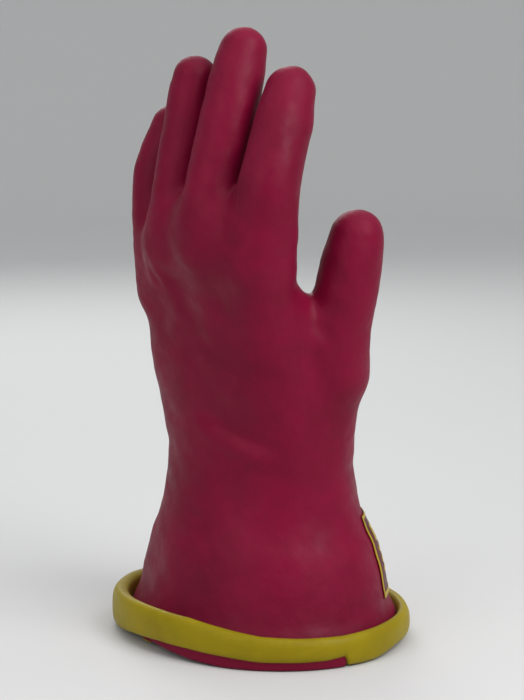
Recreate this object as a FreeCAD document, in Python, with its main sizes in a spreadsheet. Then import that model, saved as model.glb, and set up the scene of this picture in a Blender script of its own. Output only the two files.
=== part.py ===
import FreeCAD, Part
import os
import Sketcher

# Rubber insulating glove, left hand, 280 mm size, standing on its rolled cuff.
# Frame: millimetres, +Z up through the fingers, +X to the thumb side, -Y to the
# back of the hand, origin under the middle of the rolled cuff.
#
# The wall is two bonded layers: a red outer skin and a yellow inner skin. Each
# layer is cut into the pieces that stay rigid and the short rings that bend.

doc = FreeCAD.newDocument("InsulatingGlove")
dims = doc.addObject("Spreadsheet::Sheet", "dims")
V = FreeCAD.Vector
UP = V(0, 0, 1)

row = 0


def add(alias, value):
    """Put one driving dimension, or a formula, in the sheet."""
    global row
    row += 1
    dims.set("A%d" % row, alias)
    dims.set("B%d" % row, str(value))
    dims.setAlias("B%d" % row, alias)


# ------------------------------------------------------------------ dimensions

add("skin_outer", 0.6)      # red layer
add("skin_inner", 0.5)      # yellow layer
add("clearance", 0.3)       # between a bending ring and the piece it leads to
add("root_gap", 9.0)        # bending length where a finger leaves the palm
add("bend_gap", 10.0)       # bending length at the middle of a finger
add("thumb_root_gap", 7.0)
add("roll_flat", 1.5)       # height of the cuff's lower edge above the table
add("edge_thick", 0.8)      # free edge of the roll
add("edge_height", 4.5)
add("edge_start", -81.0)    # degrees from +X
add("edge_span", 70.0)
add("label_start", 25.0)
add("label_span", 71.0)
add("label_low", 20.0)
add("label_high", 56.5)
add("label_thick", 0.5)
add("ink_thick", 0.3)
add("border_width", 1.6)
add("border_base", 2.4)

# Oval sections: height, centre x, centre y, half width along X, half depth along Y
SECTIONS = {
    "cuff": [(1.5, 0.3, -0.3, 66.8, 57.8), (12, 0.3, -0.3, 65.2, 56.2), (22, 0.3, -0.3, 61.8, 52.6),
             (33, 0.2, -0.3, 59.2, 49.8), (44, -0.2, -0.3, 56.4, 46.8), (52, -0.6, -0.3, 53.1, 43.4),
             (60, -0.9, -0.3, 50.6, 40.5), (67, -1, -0.3, 49.3, 38.8), (73, -1.1, -0.4, 48.7, 37.7),
             (79, -1.2, -0.4, 48.2, 37.0)],
    "wrist": [(79, -1.2, -0.4, 48.2, 37.0), (88, -1.2, -0.9, 47.7, 36.3), (96.7, -1, -1.8, 47.4, 35.8)],
    "palm": [(97, -1, -1.8, 47.4, 35.8), (112, -0.8, -6.3, 48, 32.5), (128, -1.3, -13.7, 47.8, 26),
             (145, -2, -21.5, 46.8, 20.7), (160, -1.5, -27, 46.8, 18.5), (174, -0.5, -31, 47.8, 17.5),
             (184, 0, -33.5, 47.5, 16.6), (190, 0, -34.2, 45.5, 14.5), (193, 0, -34.5, 42, 11)],
    "roll": [(0, 0.3, -0.3, 69.5, 60.5), (2, 0.3, -0.3, 71.5, 62.5), (6, 0.3, -0.3, 72.5, 63.5),
             (10, 0.3, -0.3, 71.3, 62.3), (13, 0.3, -0.3, 66.5, 57.5)],
}
for part_name, table in SECTIONS.items():
    for number, (z, x, y, a, b) in enumerate(table):
        for letter, value in zip("zxyab", (z, x, y, a, b)):
            add("%s_s%d_%s" % (part_name, number, letter), value)

# Digits: points on the centre line (root inside the palm, root hinge, middle hinge,
# centre of the round end) and radii (root, root hinge, ring top, before the bend,
# after the bend, end)
DIGITS = {
    "index": [(27, -27, 152), (38.2, -31.4, 207.5), (37.4, -24.8, 226), (33.6, -14.2, 247.5),
              10.5, 12.9, 12.9, 12.6, 12.3, 10.8],
    "middle": [(8.5, -28.5, 150), (11.3, -37, 207.5), (10.8, -30, 235), (8, -20, 265.5),
               12.0, 12.5, 12.5, 12.2, 12.0, 10.5],
    "ring": [(-12, -28, 150), (-15.2, -36, 207.5), (-14.9, -32.4, 229), (-14.2, -28.2, 252.5),
             12.0, 11.5, 11.4, 10.9, 10.7, 9.9],
    "little": [(-30, -24, 148), (-38.2, -28.7, 201), (-38.7, -28, 216.5), (-37, -22, 232),
               10.5, 11.2, 11.0, 10.6, 10.3, 9.2],
    "thumb": [(24, 4, 103), (43.6, 8.5, 150.5), (47.6, 9.9, 171), (50, 11.2, 184.5),
              11.0, 13.3, 13.1, 12.5, 12.3, 11.0],
}
BALL = (35.0, 8.0, 122, 16.3)       # ball of the thumb: centre and radius
for digit, spec in DIGITS.items():
    for point_name, point in zip(("root", "hinge", "knee", "end"), spec[:4]):
        for letter, value in zip("xyz", point):
            add("%s_%s_%s" % (digit, point_name, letter), value)
    for radius_name, value in zip(("root", "hinge", "base", "knee", "tip", "end"), spec[4:]):
        add("%s_r_%s" % (digit, radius_name), value)
for letter, value in zip("xyzr", BALL):
    add("thumb_ball_" + letter if letter != "r" else "thumb_r_ball", value)


def distance(digit, one, two):
    steps = ["(%s_%s_%s - %s_%s_%s)^2" % (digit, two, c, digit, one, c) for c in "xyz"]
    return "sqrt(" + " + ".join(steps) + ")"


for digit in DIGITS:
    root_gap = "thumb_root_gap" if digit == "thumb" else "root_gap"
    add(digit + "_base_len", "=%s - (%s + bend_gap) / 2" % (distance(digit, "hinge", "knee"), root_gap))
    add(digit + "_tip_len", "=%s - bend_gap / 2" % distance(digit, "knee", "end"))
doc.recompute()


def val(alias):
    got = getattr(dims, alias)
    return float(getattr(got, "Value", got))


# --------------------------------------------------------------------- helpers

def ellipse(name, section, inset):
    """One oval section, made smaller all round by the inset expression."""
    e = doc.addObject("Part::Ellipse", name)
    e.setExpression("MajorRadius", "dims.%s_a - (%s)" % (section, inset))
    e.setExpression("MinorRadius", "dims.%s_b - (%s)" % (section, inset))
    for letter in "xyz":
        e.setExpression("Placement.Base." + letter, "dims.%s_%s" % (section, letter))
    return e


def oval_form(name, part_name, inset, roofed=False):
    """A solid lofted through all the oval sections of a part."""
    ovals = [ellipse("%s_o%d" % (name, i), "%s_s%d" % (part_name, i), inset)
             for i in range(len(SECTIONS[part_name]))]
    if roofed:              # the wall also closes the top, so the top comes down by the inset
        top = "dims.%s_s%d_z" % (part_name, len(ovals) - 1)
        ovals[-1].setExpression("Placement.Base.z", "%s - (%s)" % (top, inset))
    form = doc.addObject("Part::Loft", name)
    form.Sections = ovals
    form.Solid = True
    form.Ruled = False
    return form


def fuse(name, pieces):
    f = doc.addObject("Part::MultiFuse", name)
    f.Shapes = pieces
    return f


def cut(name, base, tool):
    c = doc.addObject("Part::Cut", name)
    c.Base = base
    c.Tool = tool
    return c


def common(name, pieces):
    c = doc.addObject("Part::MultiCommon", name)
    c.Shapes = pieces
    return c


def facing(axis):
    return FreeCAD.Rotation(UP, axis)


def point(digit, name):
    return V(*[val("%s_%s_%s" % (digit, name, c)) for c in "xyz"])


def circle(name, radius, inset, centre, axis):
    c = doc.addObject("Part::Circle", name)
    c.setExpression("Radius", "dims.%s - (%s)" % (radius, inset))
    c.Placement = FreeCAD.Placement(centre, facing(axis))
    return c


def layout(digit):
    """The directions of a digit's two parts, and the four places where its rings begin and end."""
    hinge, knee, end = [point(digit, n) for n in ("hinge", "knee", "end")]
    d1, d2 = (knee - hinge).normalize(), (end - knee).normalize()
    gap = val("thumb_root_gap" if digit == "thumb" else "root_gap")
    bend = val("bend_gap")
    return d1, d2, hinge - d1 * (gap / 2), hinge + d1 * (gap / 2), knee - d1 * (bend / 2), knee + d2 * (bend / 2)


nodes = {}


def node(name, thing):
    thing.Label = name
    nodes[name] = thing


INSETS = ["0", "dims.skin_outer", "dims.skin_outer + dims.skin_inner"]

# ------------------------------------------------------------- cuff and wrist

cuff = [oval_form("cuff_form%d" % i, "cuff", INSETS[i]) for i in range(3)]
node("cuff_outer", cut("cuff_red", cuff[0], cuff[1]))
node("cuff_inner", cut("cuff_yellow", cuff[1], cuff[2]))

wrist = [oval_form("wrist_form%d" % i, "wrist", INSETS[i]) for i in range(3)]
node("wrist_outer", cut("wrist_red", wrist[0], wrist[1]))
node("wrist_inner", cut("wrist_yellow", wrist[1], wrist[2]))

# Rolled cuff edge: an oval ring that hugs the outside of the cuff wall
foot = ellipse("foot_oval", "cuff_s0", "0")
foot.setExpression("Placement.Base.z", "-1")
foot_prism = doc.addObject("Part::Extrusion", "foot_prism")
foot_prism.Base = foot
foot_prism.Dir = UP
foot_prism.setExpression("LengthFwd", "dims.roll_flat + 1")
foot_prism.Solid = True
hollow = fuse("roll_hollow", [cuff[0], foot_prism])
roll_form = oval_form("roll_form", "roll", "0")
node("cuff_roll", cut("roll_yellow", roll_form, hollow))

# Free edge of the roll, a thin red band low on the outside of the ring
edge_form = oval_form("edge_form", "roll", "-dims.edge_thick")
edge_slice = doc.addObject("Part::Cylinder", "edge_slice")
edge_slice.Radius = 100
edge_slice.setExpression("Height", "dims.edge_height")
edge_slice.setExpression("Angle", "dims.edge_span")
edge_slice.Placement.Rotation = FreeCAD.Rotation(UP, val("edge_start"))
edge_band = common("edge_band", [edge_form, edge_slice])
node("cuff_roll_edge", cut("edge_red", edge_band, roll_form))

# ------------------------------------------------------------------- the label

label_form = oval_form("label_form", "cuff", "-dims.label_thick")
ink_form = oval_form("ink_form", "cuff", "-dims.label_thick - dims.ink_thick")


def label_slice(name, low, high, start, span):
    """A pie slice that covers one rectangle of the cuff wall."""
    s = doc.addObject("Part::Cylinder", name)
    s.Radius = 100
    s.setExpression("Height", "%s - (%s)" % (high, low))
    s.setExpression("Angle", span)
    s.setExpression("Placement.Base.z", low)
    s.Placement.Rotation = FreeCAD.Rotation(UP, start)
    return s


low, high = "dims.label_low", "dims.label_high"
start, span = val("label_start"), val("label_span")
side = 1.4                  # degrees of border at each end
whole = label_slice("label_whole", low, high, start, "dims.label_span")
field = label_slice("label_field", low + " + dims.border_base", high + " - dims.border_width",
                    start + side, "dims.label_span - %g" % (2 * side))
node("label_patch", cut("patch_sheet", common("patch_block", [label_form, whole]), cuff[0]))
ink_sheet = cut("ink_sheet", ink_form, label_form)
node("label_border", cut("border_frame", common("border_block", [ink_sheet, whole]), field))

# Generic marks: one wide block and three bars of unequal length
# (low, high, start and span: heights in mm above the label, angles in degrees)
MARKS = [(9, 31, 45, 17), (24, 31, 8, 33), (19.2, 21.2, 8, 27), (14.8, 16.8, 8, 30)]
bars = [label_slice("mark%d" % i, "%s + %g" % (low, a), "%s + %g" % (low, b), start + c, "%g" % d)
        for i, (a, b, c, d) in enumerate(MARKS)]
node("label_print", common("print_marks", [ink_sheet, fuse("mark_blocks", bars)]))

# ---------------------------------------------------------- palm with its ports


def port(name, digit, inset):
    """Tapered tube that joins one digit to the palm; its open end faces along the digit."""
    root = point(digit, "root")
    d1, d2, top = layout(digit)[:3]
    tube = doc.addObject("Part::Loft", name)
    tube.Sections = [circle(name + "_low", digit + "_r_root", inset, root, top - root),
                     circle(name + "_high", digit + "_r_hinge", inset, top, d1)]
    if digit == "thumb":
        ball = circle(name + "_ball", "thumb_r_ball", inset, point("thumb", "ball"), top - root)
        tube.Sections = [tube.Sections[0], ball, tube.Sections[1]]
    tube.Solid = True
    tube.Ruled = True
    return tube


def hand_form(number, inset):
    name = "hand_form%d" % number
    pieces = [oval_form(name + "_palm", "palm", inset, roofed=True)]
    pieces += [port("%s_%s" % (name, digit), digit, inset) for digit in DIGITS]
    return fuse(name, pieces)


hand = [hand_form(i, INSETS[i]) for i in range(3)]
node("palm_outer", cut("palm_red", hand[0], hand[1]))
node("palm_inner", cut("palm_yellow", hand[1], hand[2]))

# ------------------------------------------------------------------ the digits


def stall(name, r_low, r_high, length, inset, wall, domed):
    """A thin tapered tube, closed by a round end when domed, turned about its axis."""
    body = doc.addObject("PartDesign::Body", name)
    sketch = body.newObject("Sketcher::SketchObject", name + "_profile")
    sketch.AttachmentSupport = [(f, "") for f in body.Origin.OriginFeatures if f.Role == "XZ_Plane"]
    sketch.MapMode = "FlatFace"
    a, b, h = val(r_low), val(r_high), val(length)
    t0 = sum(val(s) for s in inset)
    t1 = t0 + val(wall)
    out_low, out_high = V(a - t0, 0, 0), V(b - t0, h, 0)
    in_low, in_high = V(a - t1, 0, 0), V(b - t1, h, 0)
    line = Part.LineSegment
    sketch.addGeometry(line(in_low, out_low))
    sketch.addGeometry(line(out_low, out_high))
    if domed:
        quarter = 1.5707963267948966
        centre = V(0, h, 0)
        sketch.addGeometry(Part.ArcOfCircle(Part.Circle(centre, UP, b - t0), 0, quarter))
        sketch.addGeometry(line(V(0, h + b - t0, 0), V(0, h + b - t1, 0)))
        sketch.addGeometry(Part.ArcOfCircle(Part.Circle(centre, UP, b - t1), 0, quarter))
        sketch.addGeometry(line(in_high, in_low))
        joins = [(0, 2, 1, 1), (1, 2, 2, 1), (2, 2, 3, 1), (3, 2, 4, 2), (4, 1, 5, 1), (5, 2, 0, 1)]
        inner = 5
    else:
        sketch.addGeometry(line(out_high, in_high))
        sketch.addGeometry(line(in_high, in_low))
        joins = [(0, 2, 1, 1), (1, 2, 2, 1), (2, 2, 3, 1), (3, 2, 0, 1)]
        inner = 3
    for g, p, g2, p2 in joins:
        sketch.addConstraint(Sketcher.Constraint("Coincident", g, p, g2, p2))
    if domed:
        sketch.addConstraint(Sketcher.Constraint("Coincident", 2, 3, 4, 3))
        sketch.addConstraint(Sketcher.Constraint("PointOnObject", 2, 3, -2))
        sketch.addConstraint(Sketcher.Constraint("PointOnObject", 2, 2, -2))
        sketch.addConstraint(Sketcher.Constraint("PointOnObject", 4, 2, -2))
    skin = " - ".join(["0"] + ["dims." + s for s in inset])
    deep = skin + " - dims." + wall
    sizes = [("X", 1, 1, "dims.%s + (%s)" % (r_low, skin), a - t0),
             ("X", 1, 2, "dims.%s + (%s)" % (r_high, skin), b - t0),
             ("Y", 1, 2, "dims." + length, h),
             ("X", inner, 2, "dims.%s + (%s)" % (r_low, deep), a - t1),
             ("X", inner, 1, "dims.%s + (%s)" % (r_high, deep), b - t1),
             ("Y", inner, 1, "dims." + length, h)]
    sketch.addConstraint(Sketcher.Constraint("PointOnObject", 1, 1, -1))
    sketch.addConstraint(Sketcher.Constraint("PointOnObject", inner, 2, -1))
    for way, g, p, expression, value in sizes:
        at = sketch.addConstraint(Sketcher.Constraint("Distance" + way, -1, 1, g, p, value))
        sketch.setExpression("Constraints[%d]" % at, expression)
    turn = body.newObject("PartDesign::Revolution", name + "_turn")
    turn.Profile = sketch
    turn.ReferenceAxis = (sketch, ["V_Axis"])
    turn.Angle = 360
    return body


def bending_ring(digit, name, low, high):
    """The short ring of each skin that bends between two rigid pieces."""
    forms = []
    for i, inset in enumerate(INSETS):
        form = doc.addObject("Part::Loft", "%s_%s_form%d" % (digit, name, i))
        form.Sections = [circle("%s_%s_c%d_%d" % (digit, name, i, k), r, inset, p, axis)
                         for k, (r, p, axis) in enumerate((low, high))]
        form.Solid = True
        form.Ruled = True
        forms.append(form)
    for i, skin in enumerate(("outer", "inner")):
        node("%s_%s_%s" % (digit, name, skin),
             cut("%s_%s_cut%d" % (digit, name, i), forms[i], forms[i + 1]))


for digit in DIGITS:
    d1, d2, port_top, base_low, base_high, tip_low = layout(digit)
    clear = val("clearance")
    r = "%s_r_%%s" % digit
    bending_ring(digit, "root", (r % "hinge", port_top, d1), (r % "base", base_low - d1 * clear, d1))
    bending_ring(digit, "bend", (r % "knee", base_high, d1), (r % "tip", tip_low - d2 * clear, d2))
    for skin, inset, wall in (("outer", [], "skin_outer"), ("inner", ["skin_outer"], "skin_inner")):
        base = stall("%s_base_%s" % (digit, skin), r % "base", r % "knee", digit + "_base_len",
                     inset, wall, False)
        base.Placement = FreeCAD.Placement(base_low, facing(d1))
        node("%s_base_%s" % (digit, skin), base)
        tip = stall("%s_tip_%s" % (digit, skin), r % "tip", r % "end", digit + "_tip_len",
                    inset, wall, True)
        tip.Placement = FreeCAD.Placement(tip_low, facing(d2))
        node("%s_tip_%s" % (digit, skin), tip)

# ------------------------------------------------------------ check and export

doc.recompute()
bad = [o.Name for o in doc.Objects if "Invalid" in o.State or "Error" in o.State]
if bad:
    raise RuntimeError("did not build: " + ", ".join(bad))
os.makedirs("parts", exist_ok=True)
for name, thing in nodes.items():
    shape = thing.Shape
    if not shape.isValid() or not shape.Solids:
        raise RuntimeError("bad solid: " + name)
    print("%-20s solids %d  volume %.1f" % (name, len(shape.Solids), shape.Volume))
    shape.exportStep("parts/%s.step" % name)
print(len(nodes), "nodes")
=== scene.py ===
import math

import bmesh
import bpy
import numpy as np
import openvdb
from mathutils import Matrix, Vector


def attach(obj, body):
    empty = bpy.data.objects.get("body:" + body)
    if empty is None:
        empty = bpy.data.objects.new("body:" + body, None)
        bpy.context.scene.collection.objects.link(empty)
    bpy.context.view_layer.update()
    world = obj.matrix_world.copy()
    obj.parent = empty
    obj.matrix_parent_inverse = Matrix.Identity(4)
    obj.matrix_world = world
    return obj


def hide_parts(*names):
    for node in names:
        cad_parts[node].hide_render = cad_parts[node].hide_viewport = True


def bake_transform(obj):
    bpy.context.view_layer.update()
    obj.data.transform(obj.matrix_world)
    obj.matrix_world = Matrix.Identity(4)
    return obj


# A rubber insulating glove standing on its rolled cuff. Lengths here are in
# millimetres in the model's frame; meshes are written in metres.

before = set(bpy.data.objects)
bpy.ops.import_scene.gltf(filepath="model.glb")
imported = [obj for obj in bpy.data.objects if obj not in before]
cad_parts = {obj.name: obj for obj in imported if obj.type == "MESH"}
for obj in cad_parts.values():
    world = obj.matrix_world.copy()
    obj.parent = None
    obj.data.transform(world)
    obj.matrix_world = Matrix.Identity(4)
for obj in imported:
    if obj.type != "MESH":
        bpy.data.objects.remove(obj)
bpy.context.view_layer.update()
MM = 0.001

# --------------------------------------------------------------- the hand form

# Each digit is a soft tube round a smooth line of (x, y, z, radius) points.
# The first two points of each are inside the palm.
DIGITS = {
    "index": [(16, -8, 108, 20), (31, -31, 176, 15), (36, -31.6, 195, 14.6),
              (38.4, -31.2, 207, 13.8),
              (38.2, -26.9, 220, 13.1), (36.1, -19.6, 236, 12.4), (33.6, -14.2, 247.5, 11.1)],
    "middle": [(5, -9, 108, 20), (10.5, -36, 182, 15.3), (11.3, -38.8, 198, 13.3),
               (11.4, -36.3, 212, 12.9), (11.2, -31.2, 230, 12.6), (10.1, -24.3, 251, 12.0),
               (9.1, -19.1, 264.9, 10.5)],
    "ring": [(-8, -8, 104, 22), (-13.5, -33, 178, 14.8), (-14.9, -36.4, 197, 12.2),
             (-14.9, -35.5, 211, 11.3), (-14.7, -32.4, 226, 11.1), (-13.9, -29.5, 241, 10.9),
             (-13.2, -27.4, 252.5, 10.0)],
    "little": [(-24, -8, 104, 20.5), (-32.4, -23.2, 159, 16.2), (-37.6, -27.6, 184, 13.2),
               (-39.3, -28.9, 198, 11.3), (-39.4, -28.6, 210, 10.6), (-37.7, -25.2, 220.5, 10.2),
               (-36.3, -21.4, 230.8, 9.4)],
    "thumb": [(25.5, 8, 98, 17.8), (37, 8.3, 124, 15.9), (41.8, 8, 144, 14.4),
              (44.9, 8.8, 159, 14.0), (47.6, 10, 174, 13.6), (49.6, 11.0, 185.0, 11.9)],
}

# The web between the palm and the thumb, as one more tube
WEB = [(26, -16, 151.5, 13.5), (39.5, 3.5, 137.5, 12.5)]

# Bars that fill the hand between neighbouring fingers: which point of both fingers,
# how thick against them, and whether the bar is dropped by that pair's BRIDGE_DROPS
BRIDGES = ((0, 0.95, False), (1, 0.95, False), (2, 0.86, True))
BRIDGE_DROPS = (3.8, 3.8, 9.0)

# Oval sections of the cuff, the wrist and the palm side of the hand:
# height, centre x, centre y, half width, half depth
FOREARM = [(-6, 0.3, -0.3, 66.8, 57.8), (2, 0.3, -0.3, 66.8, 57.8), (8, 0.3, -0.3, 66.6, 57.6),
           (12.5, 0.3, -0.3, 65.4, 56.4), (17, 0.3, -0.3, 63.1, 54.0), (23, 0.3, -0.3, 61.4, 52.2),
           (33, 0.2, -0.3, 59.3, 49.9), (44, -0.2, -0.3, 56.4, 46.8),
           (52, -0.6, -0.3, 53.1, 43.4), (60, -0.9, -0.3, 50.6, 40.5), (70, -1.1, -0.3, 49.1, 38.3),
           (79, -1.2, -0.4, 48.2, 37.0), (90, -1.2, -1.1, 47.6, 36.1), (104, -1.4, -3.8, 47.4, 33.8),
           (118, -2.8, -9.8, 47.6, 30.2), (132, -3.1, -15.7, 44.6, 24.4), (146, -2, -20.5, 37.5, 16.2)]

DIGIT_BLEND = 1.2       # how softly two digits run together
PALM_BLEND = 9.0        # how softly the bones of the palm run together
ROOT_BLEND = 4.0        # how softly the fingers leave the palm
THUMB_BLEND = 5.0       # how softly the thumb leaves the palm
FAR = 60.0              # a distance that no shape is nearer than
FINGERS = ("index", "middle", "ring", "little")


def soft_min(a, b, k):
    h = np.clip(0.5 + 0.5 * (b - a) / k, 0, 1)
    return b * (1 - h) + a * h - k * h * (1 - h)


def spline_runs(p, steps):
    """Catmull-Rom line from the second point to the last but one, in every column."""
    out = []
    for i in range(1, len(p) - 2):
        t = np.linspace(0, 1, steps, endpoint=False)[:, None]
        a, b, c, d = p[i - 1:i + 3]
        out.append(0.5 * (2 * b + (c - a) * t + (2 * a - 5 * b + 4 * c - d) * t ** 2
                          + (3 * b - a - 3 * c + d) * t ** 3))
    return np.vstack(out)


def smooth_line(points, steps):
    """Smooth line through all the points, both ends included."""
    p = np.array(points, float)
    p = np.vstack([2 * p[0] - p[1], p, 2 * p[-1] - p[-2]])
    return np.vstack([spline_runs(p, steps), p[-2][None]])


def closed_line(points, steps):
    """Smooth closed line through all the points."""
    p = np.array(points, float)
    return spline_runs(np.vstack([p[-1], p, p[0], p[1]]), steps)


def tube_distance(at, line):
    """Distance from points to a tube whose radius runs along its line."""
    best = np.full(len(at), 1e3)
    for a, b in zip(line[:-1], line[1:]):
        way = b[:3] - a[:3]
        t = np.clip((at - a[:3]) @ way / (way @ way), 0, 1)
        gap = np.linalg.norm(at - a[:3] - t[:, None] * way, axis=1) - (a[3] + (b[3] - a[3]) * t)
        np.minimum(best, gap, out=best)
    return best


FOREARM_LINE = smooth_line(FOREARM, 6)
DIGIT_LINES = {name: smooth_line(points[1:], 5) for name, points in DIGITS.items()}
REACH = 22.0            # beyond this a tube no longer changes the others


def forearm_oval(height):
    """Centre x, centre y, half width and half depth at each height."""
    return [np.interp(height, FOREARM_LINE[:, 0], FOREARM_LINE[:, k]) for k in range(1, 5)]


def forearm_distance(at):
    z = at[:, 2]
    cx, cy, a, b = forearm_oval(np.clip(z, FOREARM_LINE[0, 0], FOREARM_LINE[-1, 0]))
    x, y = at[:, 0] - cx, at[:, 1] - cy
    k0 = np.sqrt((x / a) ** 2 + (y / b) ** 2)
    k1 = np.sqrt((x / a ** 2) ** 2 + (y / b ** 2) ** 2) + 1e-9
    side = np.where(k0 < 1e-3, -np.minimum(a, b), k0 * (k0 - 1) / k1)
    over = np.maximum(z - FOREARM_LINE[-1, 0], 0)
    return np.where(over > 0, np.sqrt(np.maximum(side, 0) ** 2 + over ** 2), side)


def near(at, line):
    """Which points are inside a box round the tube, widened by REACH."""
    low = (line[:, :3] - line[:, 3:]).min(axis=0) - REACH
    high = (line[:, :3] + line[:, 3:]).max(axis=0) + REACH
    return np.all((at > low) & (at < high), axis=1)


def add_tube(total, at, line, blend):
    some = near(at, line)
    if some.any():
        total[some] = soft_min(total[some], tube_distance(at[some], line), blend)


def hand_distance(at):
    """Signed distance, roughly, from points to the outside of the glove."""
    palm = forearm_distance(at)
    for points in DIGITS.values():
        add_tube(palm, at, np.array(points[:2], float), PALM_BLEND)
    fingers = [np.array(DIGITS[name], float) for name in FINGERS]
    for one, two, drop in zip(fingers[:-1], fingers[1:], BRIDGE_DROPS):
        for k, thin, dropped in BRIDGES:
            bridge = np.array([one[k], two[k]]) - (0, 0, drop if dropped else 0, 0)
            bridge[:, 3] *= thin
            add_tube(palm, at, bridge, PALM_BLEND)
    add_tube(palm, at, np.array(WEB, float), PALM_BLEND)
    digits = np.full(len(at), FAR)
    for name in FINGERS:
        add_tube(digits, at, DIGIT_LINES[name], DIGIT_BLEND)
    total = soft_min(palm, digits, ROOT_BLEND)
    add_tube(total, at, DIGIT_LINES["thumb"], THUMB_BLEND)
    return total


# ------------------------------------------------------------ surface from form

FORM_LOW = np.array([-78.0, -70.0, -5.0])
FORM_HIGH = np.array([78.0, 66.0, 282.0])
BLOCK = 8               # voxels along a block; only blocks near the surface are worked out


def surface(voxel, inset):
    """Points and quads of the form's surface, moved inwards by inset."""
    count = np.ceil((FORM_HIGH - FORM_LOW) / (voxel * BLOCK)).astype(int)
    field = np.empty(count * BLOCK, np.float32)
    corner = np.stack(np.meshgrid(*map(np.arange, count), indexing="ij"), -1).reshape(-1, 3)
    middle = FORM_LOW + (corner + 0.5) * voxel * BLOCK
    rough = hand_distance(middle) + inset
    close = np.abs(rough) < voxel * BLOCK * 1.1
    inner = np.stack(np.meshgrid(*[np.arange(BLOCK)] * 3, indexing="ij"), -1).reshape(-1, 3)
    blocks = field.reshape(count[0], BLOCK, count[1], BLOCK, count[2], BLOCK)
    blocks = blocks.transpose(0, 2, 4, 1, 3, 5)
    values = np.repeat(rough[:, None], BLOCK ** 3, axis=1)
    places = FORM_LOW + (corner[close][:, None] * BLOCK + inner[None]) * voxel
    values[close] = (hand_distance(places.reshape(-1, 3)) + inset).reshape(-1, BLOCK ** 3)
    blocks[...] = values.reshape(*count, BLOCK, BLOCK, BLOCK)
    grid = openvdb.FloatGrid(FAR)
    grid.copyFromArray(np.ascontiguousarray(field))
    points, quads = grid.convertToQuads(0.0)
    points = np.array(points, float) * voxel + FORM_LOW
    for _ in range(2):
        normals = gradient(points)
        points -= normals * (hand_distance(points) + inset)[:, None] * 0.9
    return points, np.array(quads)[:, ::-1]


def gradient(points, step=0.4):
    g = np.stack([hand_distance(points + way) - hand_distance(points - way)
                  for way in np.eye(3) * step], -1)
    return g / (np.linalg.norm(g, axis=1, keepdims=True) + 1e-9)


# --------------------------------------------------------- dents, folds, ripples

def line_offset(points, line):
    """Distance to a polyline, and how far along it from 0 to 1 the nearest point is."""
    line = np.array(line, float)
    lengths = np.linalg.norm(np.diff(line, axis=0), axis=1)
    start = np.concatenate([[0], np.cumsum(lengths)])
    best, along = np.full(len(points), 1e3), np.zeros(len(points))
    for i in range(len(line) - 1):
        way = line[i + 1] - line[i]
        t = np.clip((points - line[i]) @ way / (way @ way), 0, 1)
        gap = np.linalg.norm(points - line[i] - t[:, None] * way, axis=1)
        closer = gap < best
        best[closer] = gap[closer]
        along[closer] = ((start[i] + t * lengths[i]) / start[-1])[closer]
    return best, along


# Creases: line on the surface, depth, half width. The rubber rises a little beside each.
CREASES = [
    ([(46, -37, 190), (41, -44, 186), (35, -47, 183), (29, -48.5, 182)], 0.45, 2.6),
    ([(45, -39, 181), (40, -45, 178), (34, -48, 174), (28, -48.5, 171)], 0.45, 2.8),
    ([(40, -12, 152), (44, -9, 146), (51, -3, 140)], 0.7, 2.8),
    ([(-27, -42, 202), (-24.5, -44, 190), (-21, -45, 176), (-17, -45, 158)], 1.2, 2.2),
    ([(-17, -48, 171), (-10, -48, 166), (-3, -46, 161)], 0.45, 3.4),
]
# Hollows: centre, radius, depth
HOLLOWS = [
    ((-8, -46, 163), 10, 0.9), ((6, -38, 122), 20, 1.3), ((-28, -41, 34), 17, 2.2),
    ((10, -52, 22), 15, 1.3), ((47, 2, 170), 9, 0.6),
    ((46, -20, 97), 12, 0.6), ((-40, 10, 100), 18, 1.2), ((5, 22, 108), 20, 1.5),
    ((-10, -8, 165), 16, 1.6), ((20, 4, 150), 12, 1.0), ((-47, -24, 152), 11, 0.8),
]
# Folds: line, depth, reach. The rubber is sunk above the line and full below it.
FOLDS = [
    ([(-4, -37, 100), (10, -36, 97.5), (24, -32, 92), (38, -21, 87)], 2.0, 17),
]


WAVES = 7               # slanting sine waves in each layer of unevenness


def waves(points, scale, seed):
    """Slow, smooth unevenness between -1 and 1."""
    rng = np.random.default_rng(seed)
    total = np.zeros(len(points))
    for _ in range(WAVES):
        way = rng.normal(size=3)
        way /= np.linalg.norm(way)
        total += np.sin(points @ way * (2 * math.pi / scale) * rng.uniform(0.6, 1.6)
                        + rng.uniform(0, 6.3))
    return total / WAVES ** 0.5 / 1.4


def relief(points, normals):
    """How far each point of the skin stands out from the plain form."""
    out = 0.32 * waves(points, 34, 3) + 0.16 * waves(points, 13, 8) + 0.05 * waves(points, 6, 21)
    for line, depth, width in CREASES:
        gap, along = line_offset(points, line)
        fade = np.clip(np.minimum(along, 1 - along) * 5, 0.15, 1)
        out -= depth * fade * np.exp(-(gap / width) ** 2)
        out += 0.35 * depth * fade * np.exp(-((gap - 2.1 * width) / (1.1 * width)) ** 2)
    for centre, radius, depth in HOLLOWS:
        gap = np.linalg.norm(points - centre, axis=1)
        out -= depth * np.exp(-(gap / radius) ** 2)
    for line, depth, reach in FOLDS:
        gap, along = line_offset(points, line)
        line_z = np.interp(points[:, 0], [p[0] for p in line], [p[2] for p in line])
        above = points[:, 2] - line_z
        fade = np.clip(np.minimum(along, 1 - along) * 4, 0, 1) * (points[:, 1] < 0)
        sunk = np.where(above > 0, np.exp(-(above / reach) ** 2) * (1 - np.exp(-(above / 2.5) ** 2)), 0)
        swell = 0.35 * np.exp(-((above + 3.0) / 3.5) ** 2)
        out += depth * fade * (swell - sunk) * (gap < 40)
    return out


# ------------------------------------------------------------------- the pieces

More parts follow.
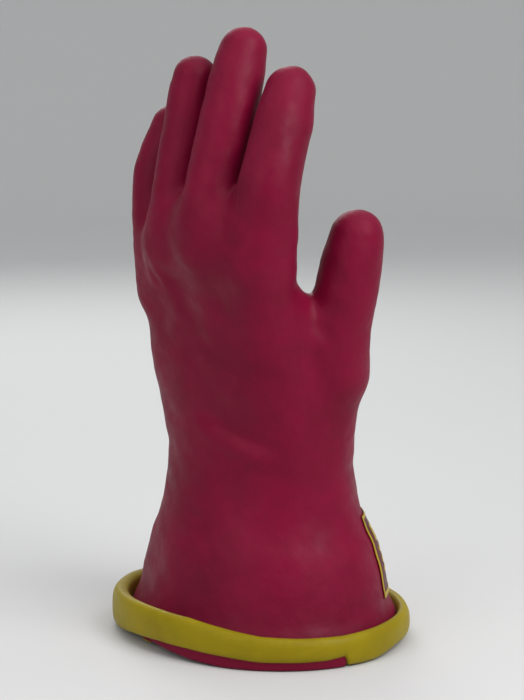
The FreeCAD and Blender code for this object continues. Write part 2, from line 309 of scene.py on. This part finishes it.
# Where each digit's centre line has its root hinge, its middle hinge and its end
HINGES = {
    "index": ((38.2, -31.4, 207.5), (37.4, -24.8, 226), (33.6, -14.2, 247.5)),
    "middle": ((11.3, -37, 207.5), (10.8, -30, 235), (8, -20, 265.5)),
    "ring": ((-15.2, -36, 207.5), (-14.9, -32.4, 229), (-14.2, -28.2, 252.5)),
    "little": ((-38.2, -28.7, 201), (-38.7, -28, 216.5), (-37, -22, 232)),
    "thumb": ((43.6, 8.5, 150.5), (47.6, 9.9, 171), (50, 11.2, 184.5)),
}
# Where the rubber of each digit bends: length of the bend at the root, and how far
# before the middle hinge the upper bend starts. Each bend is clear of its neighbour.
BENDS = {
    "index": (9.5, 2.2), "middle": (11.0, 4.0), "ring": (10.8, 4.0), "little": (7.9, 1.5),
    "thumb": (6.4, 1.6),
}
EDGE_SLACK = 1.2        # a root bend starts this far past its cut, clear of the ragged edge
KNEE_SLACK = 2.8        # and a middle bend this far past the upper cut
MID_BEND = 10.0         # length of the bend in the middle of a digit
OWN_REACH = 7           # a face further than this from a digit isn't part of it


def unit(v):
    v = np.array(v, float)
    return v / np.linalg.norm(v)


def digit_cuts(name):
    """Both cuts of a digit as (point, direction), and both bends as (start, end)."""
    root, knee, end = [np.array(p, float) for p in HINGES[name]]
    root_bend, before_knee = BENDS[name]
    along, beyond = unit(knee - root), unit(end - knee)
    if name == "thumb":
        # the cut slants, so that the web to the palm stays below it
        way, low = unit((0.15, 0.37, 0.92)), np.array((40.0, -8.0, 161.0))
    else:
        # nearly level, above the web to the next finger
        way = unit(along + (0, 0, 1))
        low = root + way * 0.4
    high = knee - along * (before_knee + KNEE_SLACK)
    mid = unit(beyond + along)
    return {"low": (low, way), "high": (high, along),
            "root_bend": (low + way * EDGE_SLACK, low + way * (EDGE_SLACK + root_bend)),
            "mid_bend": (knee - mid * before_knee, knee + mid * (MID_BEND - before_knee))}


def classify(points):
    """Number of the piece for each point: 0 palm and cuff, then lower and end of each digit."""
    kind = np.zeros(len(points), int)
    names = list(HINGES)
    gaps = np.stack([tube_distance(points, DIGIT_LINES[n]) for n in names])
    nearest = gaps.argmin(axis=0)
    for i, name in enumerate(names):
        cuts = digit_cuts(name)
        mine = (nearest == i) & (gaps[i] < OWN_REACH)
        (low, low_way), (high, high_way) = cuts["low"], cuts["high"]
        past_low = (points - low) @ low_way > 0
        past_high = (points - high) @ high_way > 0
        kind[mine & past_low] = 2 * i + 1
        kind[mine & past_low & past_high] = 2 * i + 2
    return kind


def vertex_normals(points, quads):
    p = points[quads]
    face = np.cross(p[:, 2] - p[:, 0], p[:, 3] - p[:, 1])
    normals = np.zeros_like(points)
    for k in range(4):
        np.add.at(normals, quads[:, k], face)
    return normals / (np.linalg.norm(normals, axis=1, keepdims=True) + 1e-12)


def make_mesh(name, points, faces, material, loop_normals=None):
    mesh = bpy.data.meshes.new(name)
    mesh.from_pydata((points * MM).tolist(), [], [list(map(int, f)) for f in faces])
    mesh.polygons.foreach_set("use_smooth", np.ones(len(mesh.polygons), bool))
    mesh.materials.append(material)
    mesh.update()
    if loop_normals is not None:
        mesh.normals_split_custom_set(loop_normals.tolist())
    piece = bpy.data.objects.new(name, mesh)
    bpy.context.scene.collection.objects.link(piece)
    return piece


def shell(name, points, normals, quads, wall, material):
    """A closed sheet of rubber: the given surface, its back face, and the rims between."""
    used = np.unique(quads)
    place = np.full(len(points), -1)
    place[used] = np.arange(len(used))
    front, n, q = points[used], normals[used], place[quads]
    count = len(front)
    edges = np.concatenate([q[:, [k, (k + 1) % 4]] for k in range(4)])
    keys = np.sort(edges, axis=1)
    _, first, times = np.unique(keys, axis=0, return_index=True, return_counts=True)
    rim = edges[first[times == 1]]
    rim_faces = np.stack([rim[:, 1], rim[:, 0], rim[:, 0] + count, rim[:, 1] + count], axis=1)
    all_points = np.vstack([front, front - n * wall])
    back_faces = q[:, ::-1] + count
    faces = np.vstack([q, back_faces, rim_faces])
    r = all_points[rim_faces]
    rim_n = np.cross(r[:, 2] - r[:, 0], r[:, 3] - r[:, 1])
    rim_n /= np.linalg.norm(rim_n, axis=1, keepdims=True) + 1e-12
    loops = np.vstack([n[q.ravel()], -n[q[:, ::-1].ravel()], np.repeat(rim_n, 4, axis=0)])
    return make_mesh(name, all_points, faces, material, loop_normals=loops)


def clean(points, quads):
    """Drop stray faces: keep the one big connected surface."""
    label = np.arange(len(points))
    while True:
        low = label[quads].min(axis=1)
        fresh = label.copy()
        for k in range(4):
            np.minimum.at(fresh, quads[:, k], low)
        fresh = fresh[fresh]
        if (fresh == label).all():
            break
        label = fresh
    values, counts = np.unique(label[quads[:, 0]], return_counts=True)
    return quads[label[quads[:, 0]] == values[counts.argmax()]]


CUFF_EDGE = 2.2         # height of the cuff's lower edge


def trim(points, quads):
    """Cut the surface off level at the cuff's lower edge: snap the nearest row to it."""
    keep = (points[quads][:, :, 2].max(axis=1) > CUFF_EDGE)
    quads = quads[keep]
    low = points[:, 2] < CUFF_EDGE
    points = points.copy()
    points[low, 2] = CUFF_EDGE
    return points, quads


# ---------------------------------------------------------------- the materials

def nodes_of(material):
    material.use_nodes = True
    tree = material.node_tree
    return tree, tree.nodes["Principled BSDF"]


def noise(tree, coords, scale, detail, roughness=0.55, distortion=0.0):
    n = tree.nodes.new("ShaderNodeTexNoise")
    n.inputs["Scale"].default_value = scale
    n.inputs["Detail"].default_value = detail
    n.inputs["Roughness"].default_value = roughness
    n.inputs["Distortion"].default_value = distortion
    tree.links.new(coords, n.inputs["Vector"])
    return n.outputs["Fac"]


def spread(tree, value, low, high, to_low, to_high):
    m = tree.nodes.new("ShaderNodeMapRange")
    sockets = ("From Min", "From Max", "To Min", "To Max")
    for key, number in zip(sockets, (low, high, to_low, to_high)):
        m.inputs[key].default_value = number
    tree.links.new(value, m.inputs["Value"])
    return m.outputs["Result"]


def mix(tree, factor, one, two):
    m = tree.nodes.new("ShaderNodeMix")
    m.data_type = "RGBA"
    for socket, thing in ((m.inputs["Factor"], factor), (m.inputs["A"], one), (m.inputs["B"], two)):
        if isinstance(thing, (tuple, float)):
            socket.default_value = (*thing, 1) if isinstance(thing, tuple) else thing
        else:
            tree.links.new(thing, socket)
    return m.outputs["Result"]


def bump(tree, height, distance, strength, below=None):
    b = tree.nodes.new("ShaderNodeBump")
    b.inputs["Distance"].default_value = distance
    b.inputs["Strength"].default_value = strength
    tree.links.new(height, b.inputs["Height"])
    if below is not None:
        tree.links.new(below, b.inputs["Normal"])
    return b.outputs["Normal"]


def rubber(name, base, deep, hazy, rough, peel=1.0):
    """Dipped rubber: uneven tone, a talc haze, fine pitting and a soft orange peel."""
    material = bpy.data.materials.new(name)
    tree, shader = nodes_of(material)
    coords = tree.nodes.new("ShaderNodeTexCoord").outputs["Object"]
    cloud = spread(tree, noise(tree, coords, 26, 3, 0.6, 0.4), 0.35, 0.68, 0, 1)
    tone = mix(tree, cloud, base, deep)
    talc = spread(tree, noise(tree, coords, 75, 8, 0.72, 0.6), 0.5, 0.78, 0, 0.5)
    tone = mix(tree, talc, tone, hazy)
    specks = spread(tree, noise(tree, coords, 900, 2, 0.5), 0.66, 0.76, 0, 0.35)
    tone = mix(tree, specks, tone, hazy)
    tree.links.new(tone, shader.inputs["Base Color"])
    streaks = noise(tree, coords, 140, 5, 0.6)
    shine = spread(tree, streaks, 0.3, 0.7, rough - 0.07, rough + 0.11)
    tree.links.new(shine, shader.inputs["Roughness"])
    fine = bump(tree, noise(tree, coords, 1500, 3), 0.00005, 0.5 * peel)
    soft = bump(tree, noise(tree, coords, 260, 2), 0.00022, 0.55 * peel, fine)
    tree.links.new(soft, shader.inputs["Normal"])
    shader.inputs["Specular IOR Level"].default_value = 0.15
    shader.inputs["Sheen Weight"].default_value = 0.02
    shader.inputs["Sheen Roughness"].default_value = 0.45
    return material


# name, plain tone, deeper tone, hazy tone, roughness
RED = rubber("red_rubber_look", (0.195, 0.0003, 0.026), (0.145, 0.0002, 0.019),
             (0.235, 0.002, 0.034), 0.49)
YELLOW = rubber("yellow_rubber_look", (0.31, 0.236, 0.0012), (0.245, 0.184, 0.001),
                (0.36, 0.28, 0.005), 0.46)
# The free edge is the same red rubber as the skin, given a darker copy of its tone: painted shade under
# the roll.
EDGE_RED_PAINTED_SHADE = rubber("edge_rubber_painted_shade_look", (0.17, 0.0003, 0.022), (0.13, 0.0002, 0.016),
                  (0.20, 0.0015, 0.028), 0.5)
FIELD = rubber("label_field_look", (0.085, 0.002, 0.010), (0.06, 0.0015, 0.008),
               (0.12, 0.006, 0.016), 0.42, 0.5)
INK = rubber("label_ink_look", (0.42, 0.30, 0.012), (0.34, 0.235, 0.009),
             (0.50, 0.37, 0.04), 0.38, 0.5)

# ------------------------------------------------------------- glove skin pieces

SKIN_VOXEL = 1.6
SKIN_WALL = 0.55
LINING_INSET = 0.62
LINING_WALL = 0.46

points, quads = surface(SKIN_VOXEL, 0.0)
quads = clean(points, quads)
normals = vertex_normals(points, quads)
upper = points[:, 2] > 100
if (normals[upper] * (points[upper] - (0, -30, 160))).sum() < 0:      # facing inwards
    quads = quads[:, ::-1]
    normals = -normals
points = points + normals * relief(points, normals)[:, None]
points, quads = trim(points, quads)
normals = vertex_normals(points, quads)

centres = points[quads].mean(axis=1)
kinds = classify(centres)
names = list(HINGES)
for layer, material, slot, inset, wall in (
        ("skin", RED, "red_rubber", 0.0, SKIN_WALL),
        ("lining", YELLOW, "yellow_rubber", LINING_INSET, LINING_WALL)):
    sheet = points - normals * inset
    node = "outer" if layer == "skin" else "inner"
    hand = shell("hand_" + layer, sheet, normals, quads[kinds == 0], wall, material)
    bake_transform(hand)
    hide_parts("cuff_" + node, "wrist_" + node, "palm_" + node)
    for i, name in enumerate(names):
        lower = shell(name + "_lower_" + layer, sheet, normals, quads[kinds == 2 * i + 1],
                      wall, material)
        end = shell(name + "_end_" + layer, sheet, normals, quads[kinds == 2 * i + 2],
                    wall, material)
        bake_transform(lower)
        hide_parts("%s_root_%s" % (name, node), "%s_base_%s" % (name, node))
        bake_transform(end)
        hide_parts("%s_bend_%s" % (name, node), "%s_tip_%s" % (name, node))

# ------------------------------------------------------------- the rolled edge

ROLL_OVAL = (0.3, -0.3, 63.0, 54.0)     # where the roll meets the cuff wall
ROLL_STEPS = 360
ROLL_HEIGHT = 12.7                      # of its plain outline
EDGE_START, EDGE_END = -94.0, -11.0     # degrees: the stretch where the free edge shows
EDGE_HELD = math.radians(-12.6)         # past this the edge keeps the lift and push it has here

# Outline of the roll: millimetres out from the cuff wall and up from the table
ROLL_PROFILE = [(1.98, 3.6), (1.9, 2.2), (2.3, 0.9), (3.4, 0.2), (4.8, 0.0), (6.8, 0.0), (8.6, 1.0),
                (9.5, 3.2), (9.7, 6.4), (9.4, 9.4), (8.4, 11.7), (6.9, 12.7), (5.4, 12.5), (4.4, 11.4),
                (3.95, 9.7), (3.8, 8.0), (3.7, 5.0), (3.6, 2.6), (3.1, 1.85), (2.4, 1.9), (2.2, 3.4)]

# How the roll wanders round the cuff:
# degrees, lift of its foot, lift of its top, push outwards
ROLL_WANDER = [
    (-200, 0.0, 1.2, 0.3), (-180, 0.6, 3.0, 0.9), (-160, 0.4, 4.2, 1.6), (-134, 0.9, 5.2, 1.8),
    (-120, 2.2, 6.2, 1.5), (-105, 4.4, 7.0, 0.7), (-91, 5.5, 7.3, 0.1), (-76, 5.6, 6.9, 0.0),
    (-61, 4.7, 4.7, 0.0), (-46, 3.4, 2.2, 0.0), (-31, 3.2, 1.3, 0.0), (-20, 3.4, 0.8, 0.0),
    (-12.6, 4.3, 0.6, 0.0), (-10.6, 0.3, 0.7, 0.0), (-4, 0.0, 1.0, 0.0), (3, 0.1, 1.2, 0.0),
    (10, 1.2, 1.4, 0.0), (17, 2.3, 1.6, 0.0), (40, 2.0, 1.4, 0.0), (70, 0.6, 0.6, 0.1),
    (120, 0.0, 0.0, 0.0), (160, 0.0, 1.2, 0.3), (180, 0.6, 3.0, 0.9),
]
# The red free edge below it: degrees, height of its foot
EDGE_FOOT = [(-96, 5.0), (-90, 3.6), (-82, 2.3), (-74, 1.1), (-62, 0.15), (-50, 0.0), (0, 0.0)]


def smooth_step(x, low, high):
    t = np.clip((x - low) / (high - low), 0, 1)
    return t * t * (3 - 2 * t)


def ring_wave(angle, seed, turns=(2, 3, 5, 8, 13)):
    rng = np.random.default_rng(seed)
    return sum(np.sin(k * angle + rng.uniform(0, 6.3)) * rng.uniform(0.6, 1.0) / k ** 0.5
               for k in turns) / 2.0


def oval_point(angle, out, height):
    """Points round the roll's oval, pushed out square to it."""
    cx, cy, a, b = ROLL_OVAL
    x, y = np.cos(angle), np.sin(angle)
    nx, ny = x / a, y / b
    size = np.hypot(nx, ny)
    return np.stack([cx + a * x + out * nx / size, cy + b * y + out * ny / size, height], -1)


def wander(angle):
    """Lift of the roll's foot, lift of its top and push outwards, at one angle."""
    turn = (math.degrees(angle) + 180) % 360 - 180
    table = np.array(ROLL_WANDER)
    return [float(np.interp(turn, table[:, 0], table[:, k])) for k in (1, 2, 3)]


def sweep(name, angles, profile_at, closed, material):
    """A tube round the cuff: profile_at(angle) gives the outline as (out, height) points."""
    rings = []
    for angle in angles:
        outline = profile_at(angle)
        rings.append(oval_point(np.full(len(outline), angle), outline[:, 0], outline[:, 1]))
    many, side = len(rings), len(rings[0])
    all_points = np.vstack(rings)
    faces = []
    for i in range(many if closed else many - 1):
        j = (i + 1) % many
        for k in range(side):
            m = (k + 1) % side
            faces.append((i * side + k, j * side + k, j * side + m, i * side + m))
    if not closed:
        faces.append(tuple(range(side))[::-1])
        faces.append(tuple((many - 1) * side + k for k in range(side)))
    piece = make_mesh(name, all_points, faces, material)
    fix_normals(piece)
    return piece


def fix_normals(piece):
    work = bmesh.new()
    work.from_mesh(piece.data)
    bmesh.ops.recalc_face_normals(work, faces=work.faces)
    work.to_mesh(piece.data)
    work.free()
    piece.data.set_sharp_from_angle(angle=math.radians(50))


ROLL_LINE = closed_line(ROLL_PROFILE, 3)
EDGE_OUT, EDGE_HALF = 6.7, 1.55         # middle of the free edge from the wall, half its thickness
EDGE_SOFTNESS = 0.55                    # 1 is an oval, 0 is a box


def roll_outline(angle):
    foot, top, push = wander(angle)
    out, height = ROLL_LINE[:, 0].copy(), ROLL_LINE[:, 1].copy()
    here = np.array(angle)
    free = smooth_step(out, 3.9, 6.2)           # 0 where the roll holds on to the cuff wall
    swell = 0.35 * ring_wave(here, 5) + 0.22 * ring_wave(here, 9, (7, 17, 29))
    out = out + free * (swell + push)
    up = np.clip(height / ROLL_HEIGHT, 0, 1)
    upper = up + (top + 0.35 * ring_wave(here, 12)) * smooth_step(up, 0.1, 0.9) / ROLL_HEIGHT
    lower = foot * (1 - smooth_step(up, 0.0, 0.85)) * smooth_step(ROLL_LINE[:, 0], 1.7, 2.6)
    tucked = np.where(ROLL_LINE[:, 0] > 3.75, 1.0, 0.35)
    height = height + (upper - up) * ROLL_HEIGHT * tucked + lower
    return np.stack([out, height], -1)


def edge_outline(angle):
    """Outline of the free edge: a soft-cornered strip that comes out under the roll."""
    foot, _, push = wander(min(angle, EDGE_HELD))
    table = np.array(EDGE_FOOT)
    low = float(np.interp(math.degrees(angle), table[:, 0], table[:, 1]))
    high = max(foot + 1.6, low + 1.0)
    ripple = 0.3 * ring_wave(np.array(angle), 31, (5, 9, 16))
    turn = np.linspace(0, 2 * math.pi, 28, endpoint=False)
    across = np.sign(np.cos(turn)) * np.abs(np.cos(turn)) ** EDGE_SOFTNESS
    along = np.sign(np.sin(turn)) * np.abs(np.sin(turn)) ** EDGE_SOFTNESS
    lean = 0.35 * (along + 1) / 2
    return np.stack([EDGE_OUT + ripple + push + across * EDGE_HALF - lean,
                     (low + high) / 2 + along * (high - low) / 2], -1)


# extra rings where the roll drops at the end of the free edge
around = np.linspace(0, 2 * math.pi, ROLL_STEPS, endpoint=False)
step_end = np.radians(np.linspace(EDGE_END - 2.2, EDGE_END + 0.6, 8))
around = np.unique(np.concatenate([around, step_end % (2 * math.pi)]))
roll = sweep("cuff_roll_rubber", around, roll_outline, True, YELLOW)
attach(roll, "cuff")
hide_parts("cuff_roll")

edge_angles = np.radians(np.concatenate([np.linspace(EDGE_START, EDGE_END - 2, 90),
                                         np.linspace(EDGE_END - 1.8, EDGE_END - 0.3, 7)]))


def edge_rounded(angle):
    """The free edge's outline, drawn in to a blunt, rounded corner at its last end."""
    turn = math.degrees(angle)
    outline = edge_outline(angle)
    middle = outline.mean(axis=0)
    blunt = np.clip((turn - (EDGE_END - 1.8)) / 1.5, 0, 0.985)
    size = (1 - blunt ** 2) ** 0.5
    return middle + (outline - middle) * size


# The free edge's darker red is painted shade under the roll, not a different rubber.
free_edge = sweep("cuff_free_edge", edge_angles, edge_rounded, False, EDGE_RED_PAINTED_SHADE)
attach(free_edge, "cuff")
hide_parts("cuff_roll_edge")

# --------------------------------------------------------------------- the label

LABEL = (25.0, 96.0, 20.0, 56.5)        # from and to in degrees, then in height
LABEL_GRID = (150, 78)
LABEL_PUFF = 1.1                        # how far its middle stands off the cuff


def cuff_point(angle, height):
    cx, cy, a, b = forearm_oval(height)
    # the polar angle of the CAD's slices, turned into the oval's own angle
    t = np.arctan2(np.sin(angle) / b, np.cos(angle) / a)
    return np.stack([cx + a * np.cos(t), cy + b * np.sin(t), height], -1)


def label_sheet(name, wanted, out, wall, material, node):
    """A thin sheet over the label, of the cells for which wanted(u, v) is true."""
    wide, high = LABEL_GRID
    u, v = np.meshgrid(np.linspace(0, 1, wide + 1), np.linspace(0, 1, high + 1), indexing="ij")
    angle = np.radians(LABEL[0] + (LABEL[1] - LABEL[0]) * u).ravel()
    height = (LABEL[2] + (LABEL[3] - LABEL[2]) * v).ravel()
    base = cuff_point(angle, height)
    way = gradient(base)
    puff = LABEL_PUFF * (np.sin(math.pi * u.ravel()) * np.sin(math.pi * v.ravel())) ** 0.5
    at = base + way * (relief(base, way) + out + puff)[:, None]
    index = np.arange((wide + 1) * (high + 1)).reshape(wide + 1, high + 1)
    cells = np.stack([index[:-1, :-1], index[1:, :-1], index[1:, 1:], index[:-1, 1:]], -1)
    cells = cells.reshape(-1, 4)
    cu = (np.arange(wide) + 0.5) / wide
    cv = (np.arange(high) + 0.5) / high
    cu, cv = np.meshgrid(cu, cv, indexing="ij")
    cells = cells[wanted(cu.ravel(), cv.ravel())]
    n = vertex_normals(at, cells)
    if (n[cells[0, 0]] * way[cells[0, 0]]).sum() < 0:
        cells, n = cells[:, ::-1], -n
    piece = shell(name, at, n, cells, wall, material)
    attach(piece, "cuff")
    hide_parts(node)
    return piece


def everywhere(u, v):
    return np.ones(u.shape, bool)


def frame_line(u, v):
    return (u < 0.017) | (u > 0.983) | (v > 0.965) | (v < 0.06)


def marks(u, v):
    block = (u > 0.64) & (u < 0.88) & (v > 0.24) & (v < 0.84)
    rows = ((v > 0.66) & (v < 0.84) & (u > 0.11) & (u < 0.58))
    rows |= (v > 0.52) & (v < 0.575) & (u > 0.11) & (u < 0.5)
    rows |= (v > 0.40) & (v < 0.455) & (u > 0.11) & (u < 0.54)
    rows |= (v > 0.28) & (v < 0.335) & (u > 0.11) & (u < 0.40)
    hole = (u > 0.68) & (u < 0.84) & (v > 0.34) & (v < 0.74)
    return (block & ~hole) | rows


label_sheet("label_patch_sheet", everywhere, 0.55, 0.5, FIELD, "label_patch")
label_sheet("label_border_ink", frame_line, 0.78, 0.2, INK, "label_border")
label_sheet("label_marks_ink", marks, 0.78, 0.2, INK, "label_print")

# --------------------------------------------------- floor, light and the camera

# A pale floor that curves up into a low wall all round, so no horizon shows:
# distance out and height, in metres
CURVE = 1.1
SWEEP = [(0.6, 0.0), (1.4, 0.0), (2.0, 0.0)]
SWEEP += [(2.0 + CURVE * math.sin(t), CURVE - CURVE * math.cos(t)) for t in np.linspace(0.1, 1.4, 12)]
SWEEP += [(3.3, 2.6)]
SIDES = 96
floor_mesh = bpy.data.meshes.new("floor")
floor_points = [(away * math.cos(2 * math.pi * k / SIDES), away * math.sin(2 * math.pi * k / SIDES), up)
                for away, up in SWEEP for k in range(SIDES)] + [(0, 0, 0)]
floor_faces = []
for i in range(len(SWEEP) - 1):
    for k in range(SIDES):
        one, two = i * SIDES + k, i * SIDES + (k + 1) % SIDES
        floor_faces.append((one, one + SIDES, two + SIDES, two))
floor_faces += [(k, (k + 1) % SIDES, len(floor_points) - 1) for k in range(SIDES)]
floor_mesh.from_pydata(floor_points, [], floor_faces)
floor_mesh.polygons.foreach_set("use_smooth", np.ones(len(floor_faces), bool))
floor = bpy.data.objects.new("floor", floor_mesh)
bpy.context.scene.collection.objects.link(floor)
floor.location.z = -0.0003      # a hair below the glove
floor_look = bpy.data.materials.new("floor_look")
floor_shader = nodes_of(floor_look)[1]
floor_shader.inputs["Base Color"].default_value = (0.64, 0.64, 0.635, 1)
floor_shader.inputs["Roughness"].default_value = 0.75
floor_mesh.materials.append(floor_look)

world = bpy.data.worlds.new("studio")
bpy.context.scene.world = world
world.use_nodes = True
world.node_tree.nodes["Background"].inputs["Color"].default_value = (0.80, 0.81, 0.83, 1)
world.node_tree.nodes["Background"].inputs["Strength"].default_value = 0.85

bpy.context.scene.view_settings.view_transform = "Standard"
TARGET = Vector((0, 0, 0.130))      # what the lights and the camera point at


def light(name, azimuth, elevation, distance, size, power):
    """A square soft light, placed by the direction it comes from."""
    a, e = math.radians(azimuth), math.radians(elevation)
    lamp = bpy.data.lights.new(name, "AREA")
    lamp.size = size
    lamp.energy = power
    piece = bpy.data.objects.new(name, lamp)
    way = Vector((math.sin(a) * math.cos(e), -math.cos(a) * math.cos(e), math.sin(e)))
    piece.location = TARGET + distance * way
    piece.rotation_euler = (TARGET - piece.location).to_track_quat("-Z", "Y").to_euler()
    bpy.context.scene.collection.objects.link(piece)


light("key", 95, 38, 1.1, 0.7, 8)
light("fill", 5, 25, 1.4, 1.0, 3.5)
light("top", 48, 80, 1.2, 0.9, 2)
light("back", 240, 30, 1.3, 0.6, 4)

CAMERA_AZIMUTH = 48.0
CAMERA_HEIGHT = 0.270
CAMERA_AWAY = 0.891
camera_data = bpy.data.cameras.new("camera")
camera_data.sensor_fit = "HORIZONTAL"
camera_data.sensor_width = 36.0
camera_data.lens = 136.1
camera = bpy.data.objects.new("camera", camera_data)
turn = math.radians(CAMERA_AZIMUTH)
camera.location = (math.sin(turn) * CAMERA_AWAY, -math.cos(turn) * CAMERA_AWAY, CAMERA_HEIGHT)
camera.rotation_euler = (TARGET - camera.location).to_track_quat("-Z", "Y").to_euler()
bpy.context.scene.collection.objects.link(camera)
bpy.context.scene.camera = camera
